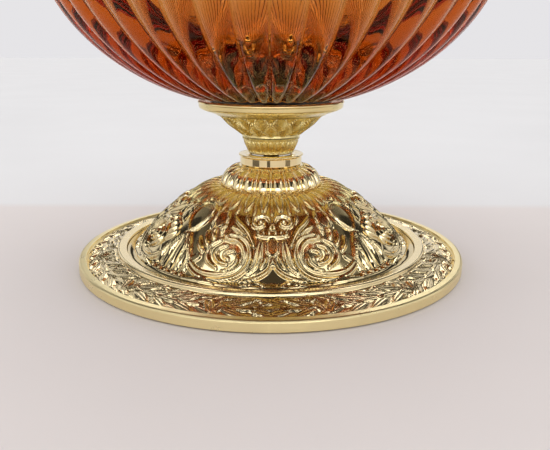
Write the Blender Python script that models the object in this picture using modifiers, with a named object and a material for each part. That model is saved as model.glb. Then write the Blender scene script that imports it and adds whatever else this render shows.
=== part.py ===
"""Footed crystal centrepiece bowl: a fluted amber glass bowl bolted to a cast and gilded brass foot.

Run in Blender 4.5, from the text editor or with blender --background --python part.py.
Metres, +Z up. The origin is the centre of the foot on the table, and every piece is turned
about +Z. A steel tie rod runs up the middle: the nut under the foot and the ornamental nut
inside the bowl clamp all the other pieces between them.
"""

import math

import bmesh
import bpy

# Driving dimensions
FOOT_RADIUS = 0.120
BOWL_RADIUS = 0.1313
BOWL_HEIGHT = 0.0978
ROD_RADIUS = 0.0050
BORE_RADIUS = 0.0055
GAP = 0.0003

# The foot's flange, from its outer rim inwards
RIM_WIDTH = 0.0056
BEAD_OUTER = 0.0968
BEAD_INNER = 0.0912
SHELF_INNER = 0.0800

# Heights of the pieces that the rod clamps
FELT_THICKNESS = 0.0020
FLANGE_LIFT = 0.0006
SHELF_TOP = 0.0064
DOME_HEIGHT = 0.0390
COLLAR_HEIGHT = 0.0132
NECK_HEIGHT = 0.0066
NECK_WASHER_HEIGHT = 0.0008
LOWER_CUP_HEIGHT = 0.0090
UPPER_CUP_HEIGHT = 0.0171
PLATE_HEIGHT = 0.0048
GASKET_HEIGHT = 0.0010
GLASS_FLOOR = 0.0110
INNER_GASKET_HEIGHT = 0.0008
ROSETTE_HEIGHT = 0.0030
CAP_NUT_HEIGHT = 0.0096

# The stack under the clamp plate's web
CLAMP_WEB_UNDERSIDE = 0.0126
CLAMP_WEB_THICKNESS = 0.0040
WASHER_HEIGHT = 0.0020
SPRING_WASHER_HEIGHT = 0.0024
NUT_HEIGHT = 0.0050
NUT_ACROSS_FLATS = 0.0170

# Ornament
BOWL_FLUTES = 44
COLLAR_LOBES = 20
ROSETTE_PETALS = 8
CAP_NUT_FLUTES = 12

# Where each piece stands, its lowest point
CLAMP_Z = FELT_THICKNESS + 0.0004
FLANGE_Z = FLANGE_LIFT
DOME_Z = FLANGE_Z + SHELF_TOP + GAP
COLLAR_Z = DOME_Z + DOME_HEIGHT + GAP
NECK_Z = COLLAR_Z + COLLAR_HEIGHT + GAP
NECK_WASHER_Z = NECK_Z + NECK_HEIGHT + GAP
LOWER_CUP_Z = NECK_WASHER_Z + NECK_WASHER_HEIGHT + GAP
UPPER_CUP_Z = LOWER_CUP_Z + LOWER_CUP_HEIGHT + GAP
PLATE_Z = UPPER_CUP_Z + UPPER_CUP_HEIGHT + GAP
GASKET_Z = PLATE_Z + PLATE_HEIGHT + GAP
BOWL_Z = GASKET_Z + GASKET_HEIGHT + GAP
INNER_GASKET_Z = BOWL_Z + GLASS_FLOOR + GAP
ROSETTE_Z = INNER_GASKET_Z + INNER_GASKET_HEIGHT + GAP
CAP_NUT_Z = ROSETTE_Z + ROSETTE_HEIGHT + GAP
WASHER_Z = CLAMP_Z + CLAMP_WEB_UNDERSIDE - GAP - WASHER_HEIGHT
SPRING_WASHER_Z = WASHER_Z - GAP - SPRING_WASHER_HEIGHT
NUT_Z = SPRING_WASHER_Z - GAP - NUT_HEIGHT
ROD_BOTTOM = NUT_Z - 0.0012
ROD_TOP = CAP_NUT_Z + 0.0056

# The bowl's outside is an ellipse, cut off flat at its base
BOWL_ELLIPSE_HEIGHT = 0.0967
BOWL_EQUATOR = 0.0900
BOWL_WALL = 0.0085
FLUTE_DEPTH = 0.0028
RIM_SCALLOP = 0.0030


def clear_scene():
    for old in list(bpy.data.objects):
        bpy.data.objects.remove(old)


def collection(name):
    made = bpy.data.collections.new(name)
    bpy.context.scene.collection.children.link(made)
    return made


clear_scene()
part_pieces = collection("footed_crystal_bowl")
cutters = collection("cutters")


def finish(name, colour, roughness, metallic, transmission=0.0):
    """A Principled material of one colour."""
    material = bpy.data.materials.new(name)
    material.use_nodes = True
    shader = material.node_tree.nodes["Principled BSDF"]
    shader.inputs["Base Color"].default_value = (*colour, 1.0)
    shader.inputs["Roughness"].default_value = roughness
    shader.inputs["Metallic"].default_value = metallic
    shader.inputs["Transmission Weight"].default_value = transmission
    return material


def gilt(name, roughness):
    return finish(name, (0.86, 0.68, 0.34), roughness, 1.0)


def steel(name):
    return finish(name, (0.60, 0.60, 0.61), 0.35, 1.0)


def rubber(name):
    return finish(name, (0.015, 0.015, 0.015), 0.70, 0.0)


def add(name, mesh, material, z):
    """Puts a mesh in the part's collection, with its lowest point at height z."""
    mesh.materials.append(material)
    made = bpy.data.objects.new(name, mesh)
    made.location.z = z
    part_pieces.objects.link(made)
    return made


def turned(name, profile, material, z, steps):
    """A turned piece. The profile is (radius, height) down its outer side, closed if it has a bore."""
    bored = all(radius > 0 for radius, _ in profile)
    outline = bmesh.new()
    corners = [outline.verts.new((radius, 0.0, height)) for radius, height in profile]
    for here, there in zip(corners, corners[1:]):
        outline.edges.new((here, there))
    if bored:
        outline.edges.new((corners[-1], corners[0]))
    mesh = bpy.data.meshes.new(name)
    outline.to_mesh(mesh)
    outline.free()
    made = add(name, mesh, material, z)
    screw = made.modifiers.new("turn", "SCREW")
    screw.axis = "Z"
    screw.steps = steps
    screw.render_steps = steps
    screw.use_merge_vertices = True
    screw.merge_threshold = 0.00001
    screw.use_smooth_shade = True
    return made


def ring(name, inner, outer, height, material, z, steps):
    """A flat washer with square edges."""
    profile = [(inner, height), (outer, height), (outer, 0.0), (inner, 0.0)]
    return turned(name, profile, material, z, steps)


def flute(piece, count, carve):
    """Carves round lobes into a turned piece.

    carve(radius, height) is the (radius, height) step that a point takes where a groove is
    deepest. A lobe's crest stays where it was turned."""
    bpy.context.view_layer.update()
    graph = bpy.context.evaluated_depsgraph_get()
    mesh = bpy.data.meshes.new_from_object(piece.evaluated_get(graph))
    for vertex in mesh.vertices:
        radius = math.hypot(vertex.co.x, vertex.co.y)
        angle = math.atan2(vertex.co.y, vertex.co.x)
        depth = 1.0 - abs(math.sin(count * angle / 2))
        out, up = carve(radius, vertex.co.z)
        scale = (radius + out * depth) / radius if radius > 0 else 1.0
        vertex.co.x *= scale
        vertex.co.y *= scale
        vertex.co.z += up * depth
    piece.modifiers.clear()
    piece.data = mesh


def cut(piece, cutter):
    """Cuts a closed mesh out of a piece, and keeps the cutter out of the part."""
    cutter.hide_render = True
    cutter.display_type = "WIRE"
    cutters.objects.link(cutter)
    difference = piece.modifiers.new("cut", "BOOLEAN")
    difference.operation = "DIFFERENCE"
    difference.solver = "EXACT"
    difference.object = cutter


def prism(name, sides, radius, height):
    """A closed prism or cylinder that stands on its own origin."""
    solid = bmesh.new()
    bmesh.ops.create_cone(
        solid, cap_ends=True, segments=sides, radius1=radius, radius2=radius, depth=height
    )
    bmesh.ops.translate(solid, verts=solid.verts, vec=(0.0, 0.0, height / 2))
    mesh = bpy.data.meshes.new(name)
    solid.to_mesh(mesh)
    solid.free()
    return mesh


def arc(centre, radius, start, end, count):
    """Points on a circle, from the start angle to the end angle in degrees."""
    angles = [math.radians(start + (end - start) * i / count) for i in range(count + 1)]
    return [(centre[0] + radius * math.cos(a), centre[1] + radius * math.sin(a)) for a in angles]


def ellipse(width, height, start, end, count):
    """Points on the lower half of the bowl's ellipse, by the angle below its equator."""
    angles = [start + (end - start) * i / count for i in range(count + 1)]
    return [(width * math.cos(a), BOWL_EQUATOR - height * math.sin(a)) for a in angles]


def felt_pad():
    felt = finish("felt", (0.035, 0.060, 0.045), 0.95, 0.0)
    ring("felt_pad", 0.0165, FOOT_RADIUS - 0.0064, FELT_THICKNESS, felt, 0.0, 40)


def base_flange():
    """The foot's flange: a satin rim, a sloping laurel band, a bead and the dome's shelf."""
    rim_inner = FOOT_RADIUS - RIM_WIDTH
    profile = [
        (SHELF_INNER, SHELF_TOP),
        (BEAD_INNER, SHELF_TOP),
        (BEAD_INNER, 0.0105),
        (BEAD_OUTER - 0.0004, 0.0109),
        (BEAD_OUTER, 0.0094),
        (rim_inner, 0.0046),
        (rim_inner, 0.0062),
        (FOOT_RADIUS, 0.0060),
        (FOOT_RADIUS, 0.0),
        (rim_inner - 0.0004, 0.0),
        (rim_inner - 0.0004, 0.0017),
        (0.0886, 0.0017),
        (0.0886, 0.0039),
        (SHELF_INNER, 0.0039),
    ]
    turned("base_flange", profile, gilt("gilt_flange", 0.30), FLANGE_Z, 56)


def clamp_plate():
    """A dished iron plate that weights the foot. Its web takes the pull of the tie rod."""
    web_top = CLAMP_WEB_UNDERSIDE + CLAMP_WEB_THICKNESS
    profile = [
        (BORE_RADIUS, web_top),
        (0.0220, web_top),
        (0.0245, 0.0101),
        (0.0740, 0.0101),
        (0.0760, 0.0081),
        (0.0760, 0.0018),
        (0.0882, 0.0018),
        (0.0882, 0.0),
        (0.0180, 0.0),
        (0.0180, CLAMP_WEB_UNDERSIDE),
        (BORE_RADIUS, CLAMP_WEB_UNDERSIDE),
    ]
    iron = finish("cast_iron", (0.045, 0.045, 0.048), 0.60, 1.0)
    turned("clamp_plate", profile, iron, CLAMP_Z, 32)


def scroll_dome():
    """The cast dome. Its rim rests on the flange's shelf, and its web carries the collar."""
    outside = [
        (0.0345, 0.0414),
        (0.0410, 0.0406),
        (0.0500, 0.0364),
        (0.0590, 0.0306),
        (0.0680, 0.0228),
        (0.0760, 0.0150),
    ]
    inside = [
        (0.0720, 0.0130),
        (0.0580, 0.0250),
        (0.0440, 0.0340),
        (0.0330, 0.0365),
    ]
    top = [(BORE_RADIUS, DOME_HEIGHT), (0.0305, DOME_HEIGHT)]
    rim = [(0.0866, 0.0020), (0.0909, 0.0020), (0.0909, 0.0), (0.0830, 0.0)]
    web = [(BORE_RADIUS, DOME_HEIGHT - 0.0032)]
    profile = top + outside + rim + inside + web
    turned("scroll_dome", profile, gilt("gilt_dome", 0.12), DOME_Z, 48)


def gadroon_collar():
    """A flared collar of convex lobes, hollow below."""
    flare = arc((0.0196, 0.0012), 0.0118, 90, 5, 5)
    top = [(BORE_RADIUS, COLLAR_HEIGHT), (0.0192, COLLAR_HEIGHT)]
    lip = [(0.0312, 0.0006), (0.0300, 0.0), (0.0270, 0.0)]
    inside = [(0.0260, 0.0055), (0.0190, 0.0100), (BORE_RADIUS, 0.0100)]
    profile = top + flare + lip + inside
    collar = turned("gadroon_collar", profile, gilt("gilt_collar", 0.15), COLLAR_Z, 2 * COLLAR_LOBES)

    def carve(radius, _height):
        return (-0.0011, 0.0) if radius > 0.0275 else (0.0, 0.0)

    flute(collar, COLLAR_LOBES, carve)


def neck_ring():
    """A polished ring with a rolled lip at its top."""
    top = NECK_HEIGHT
    profile = [
        (BORE_RADIUS, top),
        (0.0195, top),
        (0.0201, top - 0.0006),
        (0.0201, top - 0.0012),
        (0.0191, top - 0.0020),
        (0.0191, 0.0),
        (BORE_RADIUS, 0.0),
    ]
    turned("neck_ring", profile, gilt("gilt_neck", 0.08), NECK_Z, 40)


def neck_washer():
    ring(
        "neck_washer", BORE_RADIUS, 0.0122, NECK_WASHER_HEIGHT, rubber("washer_rubber"),
        NECK_WASHER_Z, 24,
    )


def lower_cup():
    """A small cup. Its skirt hangs round the washer under it, just clear of the neck ring."""
    skirt = NECK_WASHER_Z - LOWER_CUP_Z
    profile = [
        (BORE_RADIUS, LOWER_CUP_HEIGHT),
        (0.0178, LOWER_CUP_HEIGHT),
        (0.0176, 0.0075),
        (0.0165, 0.0047),
        (0.0150, 0.0012),
        (0.0141, skirt),
        (0.0128, skirt),
        (0.0126, 0.0),
        (BORE_RADIUS, 0.0),
    ]
    turned("lower_cup", profile, gilt("gilt_lower_cup", 0.28), LOWER_CUP_Z, 32)


def upper_cup():
    """The bell under the bowl: a flared shell with a web at the bottom, a bead and a cove."""
    outside = [
        (0.0425, UPPER_CUP_HEIGHT),
        (0.0405, 0.0162),
        (0.0334, 0.0136),
        (0.0304, 0.0113),
        (0.0252, 0.0061),
        (0.0213, 0.0032),
        (0.0178, 0.0),
    ]
    inside = [(BORE_RADIUS, 0.0), (BORE_RADIUS, 0.0036), (0.0185, 0.0044), (0.0265, 0.0120)]
    mouth = [(0.0340, UPPER_CUP_HEIGHT)]
    turned("upper_cup", outside + inside + mouth, gilt("gilt_upper_cup", 0.28), UPPER_CUP_Z, 40)


def support_plate():
    top = PLATE_HEIGHT
    profile = [
        (BORE_RADIUS, top),
        (0.0443, top),
        (0.0446, top - 0.0003),
        (0.0446, 0.0),
        (BORE_RADIUS, 0.0),
    ]
    turned("support_plate", profile, gilt("gilt_plate", 0.30), PLATE_Z, 40)


def bowl_gasket():
    ring("bowl_gasket", 0.0120, 0.0370, GASKET_HEIGHT, rubber("gasket_rubber"), GASKET_Z, 32)


def glass_bowl():
    """The bowl: an open glass shell, fluted outside, smooth inside, with a bore in its floor."""
    inner_radius = BOWL_RADIUS - BOWL_WALL
    floor_edge = 0.0200
    inner_height = (BOWL_EQUATOR - GLASS_FLOOR) / math.sqrt(1 - (floor_edge / inner_radius) ** 2)
    base_angle = math.asin(BOWL_EQUATOR / BOWL_ELLIPSE_HEIGHT)
    floor_angle = math.acos(floor_edge / inner_radius)
    rim = [
        (inner_radius + 0.0002, BOWL_HEIGHT - 0.0014),
        (inner_radius + 0.0040, BOWL_HEIGHT),
        (BOWL_RADIUS - 0.0002, BOWL_HEIGHT - 0.0014),
    ]
    outside = ellipse(BOWL_RADIUS, BOWL_ELLIPSE_HEIGHT, 0.0, base_angle, 8)
    bore = [(0.0078, 0.0), (0.0078, GLASS_FLOOR)]
    inside = ellipse(inner_radius, inner_height, floor_angle, 0.0, 6)
    glass = finish("amber_glass", (0.75, 0.26, 0.05), 0.02, 0.0, 1.0)
    bowl = turned("glass_bowl", rim + outside + bore + inside, glass, BOWL_Z, 2 * BOWL_FLUTES)

    def carve(radius, height):
        if height > BOWL_EQUATOR + GAP:
            out = -FLUTE_DEPTH if radius > BOWL_RADIUS - 0.0030 else 0.0
            return out, -RIM_SCALLOP * (height - BOWL_EQUATOR) / (BOWL_HEIGHT - BOWL_EQUATOR)
        out = radius / BOWL_RADIUS**2
        up = (height - BOWL_EQUATOR) / BOWL_ELLIPSE_HEIGHT**2
        on_outside = radius * out + (height - BOWL_EQUATOR) * up > 0.99
        depth = FLUTE_DEPTH / math.hypot(out, up) if on_outside else 0.0
        return -depth * out, -depth * up

    flute(bowl, BOWL_FLUTES, carve)


def bore_bush():
    """A clear sleeve that keeps the rod off the glass."""
    nylon = finish("clear_nylon", (0.80, 0.80, 0.76), 0.35, 0.0)
    ring("bore_bush", BORE_RADIUS, 0.0074, GLASS_FLOOR - GAP, nylon, BOWL_Z, 24)


def inner_gasket():
    ring(
        "inner_gasket", BORE_RADIUS, 0.0172, INNER_GASKET_HEIGHT, rubber("inner_rubber"),
        INNER_GASKET_Z, 24,
    )


def inner_rosette():
    """A dished and petalled washer that spreads the nut's load over the glass."""
    profile = [
        (BORE_RADIUS, ROSETTE_HEIGHT),
        (0.0100, ROSETTE_HEIGHT),
        (0.0150, 0.0022),
        (0.0190, 0.0010),
        (0.0190, 0.0),
        (BORE_RADIUS, 0.0),
    ]
    rosette = turned("inner_rosette", profile, gilt("gilt_rosette", 0.18), ROSETTE_Z, 32)

    def carve(radius, _height):
        return (-0.0022, 0.0) if radius > 0.0180 else (0.0, 0.0)

    flute(rosette, ROSETTE_PETALS, carve)


def cap_nut():
    """The ornamental nut inside the bowl, fluted for the fingers, with a blind thread."""
    crown = arc((0.0, 0.0052), 0.0044, 65, 30, 1)
    profile = [
        (0.0, CAP_NUT_HEIGHT),
        *crown,
        (0.0080, 0.0060),
        (0.0092, 0.0052),
        (0.0096, 0.0042),
        (0.0096, 0.0008),
        (0.0088, 0.0),
        (ROD_RADIUS + GAP, 0.0),
        (ROD_RADIUS + GAP, 0.0064),
        (0.0, 0.0070),
    ]
    nut = turned("cap_nut", profile, gilt("gilt_nut", 0.15), CAP_NUT_Z, 2 * CAP_NUT_FLUTES)

    def carve(radius, _height):
        return (-0.0009, 0.0) if radius > 0.0090 else (0.0, 0.0)

    flute(nut, CAP_NUT_FLUTES, carve)


def tie_rod():
    rod = prism("tie_rod", 20, ROD_RADIUS, ROD_TOP - ROD_BOTTOM)
    made = add("tie_rod", rod, steel("rod_steel"), ROD_BOTTOM)
    ends = made.modifiers.new("chamfer", "BEVEL")
    ends.width = 0.0006
    ends.segments = 1
    ends.limit_method = "ANGLE"
    ends.angle_limit = math.radians(40)


def bottom_washer():
    ring(
        "bottom_washer", BORE_RADIUS, 0.0125, WASHER_HEIGHT, steel("washer_steel"), WASHER_Z, 24
    )


def spring_washer():
    """A split washer: a ring with a slanting slot through one side."""
    washer = ring(
        "spring_washer", BORE_RADIUS, 0.0090, SPRING_WASHER_HEIGHT, steel("spring_steel"),
        SPRING_WASHER_Z, 24,
    )
    slot = bpy.data.objects.new("washer_slot", prism("washer_slot", 4, 0.0010, 0.0060))
    slot.rotation_euler = (math.radians(35), math.radians(90), 0.0)
    slot.location = (0.0042, 0.0, SPRING_WASHER_Z + SPRING_WASHER_HEIGHT / 2)
    cut(washer, slot)


def bottom_nut():
    """A thin hexagon nut."""
    corner = NUT_ACROSS_FLATS / math.sqrt(3)
    body = prism("bottom_nut", 6, corner, NUT_HEIGHT)
    nut = add("bottom_nut", body, steel("nut_steel"), NUT_Z)
    bore = bpy.data.objects.new(
        "nut_bore", prism("nut_bore", 20, ROD_RADIUS + GAP, NUT_HEIGHT + 0.0040)
    )
    bore.location.z = NUT_Z - 0.0020
    cut(nut, bore)


felt_pad()
base_flange()
clamp_plate()
scroll_dome()
gadroon_collar()
neck_ring()
neck_washer()
lower_cup()
upper_cup()
support_plate()
bowl_gasket()
glass_bowl()
bore_bush()
inner_gasket()
inner_rosette()
cap_nut()
tie_rod()
bottom_washer()
spring_washer()
bottom_nut()
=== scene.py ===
"""The looks of a footed centrepiece bowl: fluted amber crystal on a cast and gilded foot.

Every piece is turned about +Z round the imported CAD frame, in metres. Angles run from the front,
-Y, towards +X. A piece's ornament is a height field over its turned surface, drawn by strokes.
"""

import math

import bmesh
import bpy
import numpy as np
from mathutils import Matrix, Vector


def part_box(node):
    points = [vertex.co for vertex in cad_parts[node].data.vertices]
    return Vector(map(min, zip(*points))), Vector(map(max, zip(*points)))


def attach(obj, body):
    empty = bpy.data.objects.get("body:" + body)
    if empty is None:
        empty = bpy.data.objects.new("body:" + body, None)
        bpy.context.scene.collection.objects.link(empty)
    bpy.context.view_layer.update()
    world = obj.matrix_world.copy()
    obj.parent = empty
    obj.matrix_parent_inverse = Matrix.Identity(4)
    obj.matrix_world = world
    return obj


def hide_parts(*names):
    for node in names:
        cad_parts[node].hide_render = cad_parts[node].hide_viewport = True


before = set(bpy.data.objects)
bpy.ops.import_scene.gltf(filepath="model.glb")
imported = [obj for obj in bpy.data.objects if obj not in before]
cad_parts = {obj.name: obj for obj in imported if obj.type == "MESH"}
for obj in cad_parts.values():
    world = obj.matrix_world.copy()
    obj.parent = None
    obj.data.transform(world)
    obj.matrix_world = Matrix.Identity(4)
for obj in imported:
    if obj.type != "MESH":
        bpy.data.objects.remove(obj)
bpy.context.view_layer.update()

MM = 0.001
# how far a corner is eased
CORNER = 0.00012
# the radius of the hole for the tie rod
ROD_HOLE = 0.0055
# the dome's ornament doesn't quite face the front
ORNAMENT_TURN = math.radians(1.2)
BOWL_FLUTES = 44
COLLAR_LOBES = 20
# the bowl's crests lie beside the X axis, so it is a little wider than its box
CREST_PAST_BOX = 1.0008


def low(node):
    """The height of a CAD node's underside."""
    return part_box(node)[0].z


def high(node):
    """The height of a CAD node's top."""
    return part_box(node)[1].z


def wide(node):
    """A CAD node's radius along +X."""
    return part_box(node)[1].x


# ---------------------------------------------------------------- turned surfaces


def smooth(points, count):
    """Evenly spaced points on a smooth curve through the given ones."""
    given = np.array(points, float)
    padded = np.vstack([2 * given[0] - given[1], given, 2 * given[-1] - given[-2]])
    samples = 16
    made = []
    for a, b, c, d in zip(padded, padded[1:], padded[2:], padded[3:]):
        t = np.linspace(0, 1, samples, endpoint=False)[:, None]
        bend = (2 * a - 5 * b + 4 * c - d) * t**2 + (3 * b - a - 3 * c + d) * t**3
        made.append(0.5 * (2 * b + (c - a) * t + bend))
    line = np.vstack([*made, given[-1:]])
    return spaced(line, count)


def spaced(line, count):
    """The same line, as count evenly spaced points."""
    steps = np.hypot(*np.diff(line, axis=0).T)
    along = np.concatenate([[0.0], np.cumsum(steps)])
    even = np.linspace(0, along[-1], count)
    return np.column_stack([np.interp(even, along, line[:, i]) for i in (0, 1)])


def sharp(points, corner=CORNER):
    """Straight runs whose corners are eased, with points beside each so that flats stay flat."""
    given = [np.array(p, float) for p in points]
    made = [given[0]]
    for before, here, after in zip(given, given[1:], given[2:]):
        back = (before - here) / np.linalg.norm(before - here)
        on = (after - here) / np.linalg.norm(after - here)
        made += [here + 2 * corner * back, here + corner * back]
        made += [here + corner * on, here + 2 * corner * on]
    return np.array([*made, given[-1]])


def circle(centre, radius, start, end, count):
    """Points on a circle, from the start angle to the end angle in degrees."""
    angles = np.radians(np.linspace(start, end, count))
    return np.column_stack([centre[0] + radius * np.cos(angles), centre[1] + radius * np.sin(angles)])


def normals(line):
    """The outward normal at each point of a profile that runs down the outside."""
    run = np.gradient(line, axis=0)
    run /= np.linalg.norm(run, axis=1)[:, None]
    return np.column_stack([-run[:, 1], run[:, 0]])


def raised(line, rise):
    """Radii and heights of a profile's points, each moved out along its normal by rise."""
    out = normals(line)
    return line[:, :1] + rise * out[:, :1], line[:, 1:] + rise * out[:, 1:]


def column_angles(columns):
    """The angle of each column of a turned piece, in radians from the front."""
    return np.arange(columns) * 2 * math.pi / columns


def round_points(radius, height, turn):
    """Points at these radii and heights, in rows, with one column for each angle."""
    across, forward = radius * np.sin(turn), -radius * np.cos(turn)
    return np.stack(np.broadcast_arrays(across, forward, height), -1)


def turned(name, sections, columns, closed=True):
    """A turned mesh. Each section is a line of (radius, height), with a height field or None."""
    rings = []
    turn = column_angles(columns)
    for line, relief in sections:
        line = np.asarray(line, float)
        rise = np.zeros((len(line), columns)) if relief is None else relief
        rings.append(round_points(*raised(line, rise), turn))
    return grid_object(name, np.concatenate(rings), closed)


def grid_object(name, grid, closed=True):
    """An object over rows of points that run once round. Closed joins the last row to the first."""
    rows, columns = grid.shape[:2]
    number = np.arange(rows * columns).reshape(rows, columns)
    here = number if closed else number[:-1]
    below = np.roll(number, -1, 0) if closed else number[1:]
    faces = np.stack([here, below, np.roll(below, -1, 1), np.roll(here, -1, 1)], -1)
    return mesh_object(name, grid.reshape(-1, 3), faces.reshape(-1, 4))


def mesh_object(name, points, faces):
    """An object whose mesh has these points and faces, welded, smooth and free of empty faces."""
    mesh = bpy.data.meshes.new(name)
    mesh.from_pydata(points.tolist(), [], faces.tolist())
    solid = bmesh.new()
    solid.from_mesh(mesh)
    bmesh.ops.remove_doubles(solid, verts=solid.verts, dist=1e-7)
    bmesh.ops.recalc_face_normals(solid, faces=solid.faces)
    for face in solid.faces:
        face.smooth = True
    solid.to_mesh(mesh)
    solid.free()
    made = bpy.data.objects.new(name, mesh)
    bpy.context.scene.collection.objects.link(made)
    return made


def place(piece, body, node, material):
    """Gives a piece its material and the body it moves with, and hides the CAD node that it stands for."""
    piece.data.materials.append(material)
    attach(piece, body)
    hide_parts(node)


def second_material(piece, test):
    """Gives the second material to each face whose middle (radius, angle, height) passes the test."""
    for face in piece.data.polygons:
        x, y, height = face.center
        face.material_index = 1 if test(math.hypot(x, y), math.atan2(y, x), height) else 0


# ---------------------------------------------------------------- ornament


# a stroke's cross-section: its height, from 0 to 1, at q stroke widths from its middle


def round_form(q):
    return np.sqrt(1 - q**2)


def vein_form(q):
    return np.sqrt(1 - q**2) * (1 - 0.60 * np.exp(-((q / 0.18) ** 2)))


def keel_form(q):
    return 0.45 * (1 - q**2) + 0.55 * (1 - q) ** 1.4


def soft_form(q):
    return (1 - q**2) ** 1.4


def trough_form(q):
    rim = np.clip(1 - ((q - 0.70) / 0.30) ** 2, 0, 1) ** 1.2
    return np.where(q < 0.70, 1 - 0.55 * (1 - (q / 0.70) ** 2) ** 2, rim)


def flat_form(q):
    return np.clip((1 - q) / 0.15, 0, 1)


class Relief:
    """Heights in mm over one half of a mirrored sector. Places are (degrees, mm down the line)."""

    def __init__(self, line, columns, sectors, ground=0.0):
        self.columns, self.sectors = columns, sectors
        self.half = columns // (2 * sectors)
        self.angle = np.linspace(0, 180 / sectors, self.half + 1)[None, :]
        steps = np.hypot(*np.diff(line, axis=0).T)
        self.along = np.concatenate([[0.0], np.cumsum(steps)])[:, None] / MM
        self.radius = line[:, :1] / MM
        self.height = np.zeros((len(line), self.half + 1))
        self.ground = ground

    def reach(self, points, width, start, end, count):
        """How far each place is from a stroke, in stroke widths, and the stroke's size there."""
        line = smooth(points, count) if len(points) > 1 else np.array([points[0], points[0]], float)
        t = np.linspace(0, 1, len(line))
        taper = 0.35
        growing = start + (1 - start) * np.sqrt(t / taper)
        thinning = end + (1 - end) * np.sqrt((1 - t) / taper)
        size = np.minimum(np.minimum(growing, thinning), 1.0)
        far = np.full(self.height.shape, 1e9)
        fat = np.ones(self.height.shape)
        for here, there, first, last in zip(line, line[1:], size, size[1:]):
            x, y = np.radians(self.angle - here[0]) * self.radius, self.along - here[1]
            run, drop = np.radians(there[0] - here[0]) * self.radius, there[1] - here[1]
            share = np.clip((x * run + y * drop) / (run**2 + drop**2 + 1e-12), 0, 1)
            local = first + share * (last - first)
            q = np.hypot(x - share * run, y - share * drop) / (width * local)
            nearer = q < far
            far[nearer], fat[nearer] = q[nearer], local[nearer]
        return far, fat

    def stroke(self, points, width, height, form=round_form, start=0.25, end=0.25, count=40):
        """Raises a rib along a smooth line. It thins from full size to start and end at its ends."""
        far, fat = self.reach(points, width, start, end, count)
        rise = height * fat**0.5 * form(np.clip(far, 0, 1))
        self.height = np.where(far < 1, np.maximum(self.height, rise), self.height)

    def level(self, points, width, height, start=1.0, end=1.0):
        """Sets the ground inside a stroke's outline to one height, and leaves the rest."""
        far, _fat = self.reach(points, width, start, end, 40)
        share = flat_form(np.clip(far, 0, 1))
        self.height = self.height * (1 - share) + height * share

    def ball(self, degrees, down, radius, height, form=round_form):
        """Raises a round boss."""
        self.stroke([(degrees, down)], radius, height, form, 1.0, 1.0)

    def all_round(self, turn=0.0):
        """The heights in metres for the whole turn, one column for each angle."""
        sector = np.concatenate([self.height, self.height[:, -2:0:-1]], 1)
        whole = np.tile(sector, (1, self.sectors)) + self.ground
        return np.roll(whole, round(turn / (2 * math.pi) * self.columns), 1) * MM


def step(x, start, end):
    """0 before start, 1 after end, and smooth between them."""
    t = np.clip((np.asarray(x, float) - start) / (end - start), 0, 1)
    return t * t * (3 - 2 * t)


# ---------------------------------------------------------------- materials


def new_material(name):
    """A material, its node tree and its Principled shader."""
    material = bpy.data.materials.new(name)
    material.use_nodes = True
    tree = material.node_tree
    return material, tree, tree.nodes["Principled BSDF"]


def node(tree, kind, **inputs):
    """A shader node, its sockets set from keywords, where a link is a socket."""
    made = tree.nodes.new(kind)
    for key, value in inputs.items():
        name = key.replace("_", " ")
        if hasattr(value, "links"):
            tree.links.new(value, made.inputs[name])
        else:
            made.inputs[name].default_value = value
    return made


def maths(tree, operation, a, b=0.0):
    """A Math node's output, from numbers or sockets."""
    made = tree.nodes.new("ShaderNodeMath")
    made.operation = operation
    for i, value in enumerate((a, b)):
        if hasattr(value, "links"):
            tree.links.new(value, made.inputs[i])
        else:
            made.inputs[i].default_value = value
    return made.outputs[0]


def ramp(tree, factor, stops):
    """A colour ramp. Stops are (place, colour)."""
    made = tree.nodes.new("ShaderNodeValToRGB")
    tree.links.new(factor, made.inputs[0])
    elements = made.color_ramp.elements
    while len(elements) < len(stops):
        elements.new(0.5)
    for element, (position, colour) in zip(elements, stops):
        element.position = position
        element.color = (*colour, 1.0)
    return made.outputs["Color"]


def spread_range(tree, value, start, end, first, last):
    """A value that runs from start to end, spread over first to last."""
    made = node(tree, "ShaderNodeMapRange", Value=value)
    for name, number in (("From Min", start), ("From Max", end), ("To Min", first), ("To Max", last)):
        made.inputs[name].default_value = number
    return made.outputs["Result"]


def object_place(tree):
    return tree.nodes.new("ShaderNodeTexCoord").outputs["Object"]


def round_place(tree, around, across, up):
    """Coordinates that run round the axis, out from it and up it, each with its own scale."""
    split = node(tree, "ShaderNodeSeparateXYZ", Vector=object_place(tree))
    x, y, z = (split.outputs[i] for i in range(3))
    squares = [maths(tree, "MULTIPLY", side, side) for side in (x, y)]
    radius = maths(tree, "SQRT", maths(tree, "ADD", *squares))
    turn = maths(tree, "ARCTAN2", y, x)
    made = tree.nodes.new("ShaderNodeCombineXYZ")
    for socket, value, scale in zip(made.inputs, (turn, radius, z), (around, across, up)):
        tree.links.new(maths(tree, "MULTIPLY", value, scale), socket)
    return made.outputs[0]


def noise(tree, vector, scale, detail=3.0):
    made = node(tree, "ShaderNodeTexNoise", Vector=vector, Scale=scale, Detail=detail)
    return made.outputs[0]


GOLD_BRIGHT = (0.97, 0.81, 0.47)
# the dark end of gilt's ramp, for its random clouding and for the painted shade in its hollows
GOLD_DEEP = (0.66, 0.50, 0.24)


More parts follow.
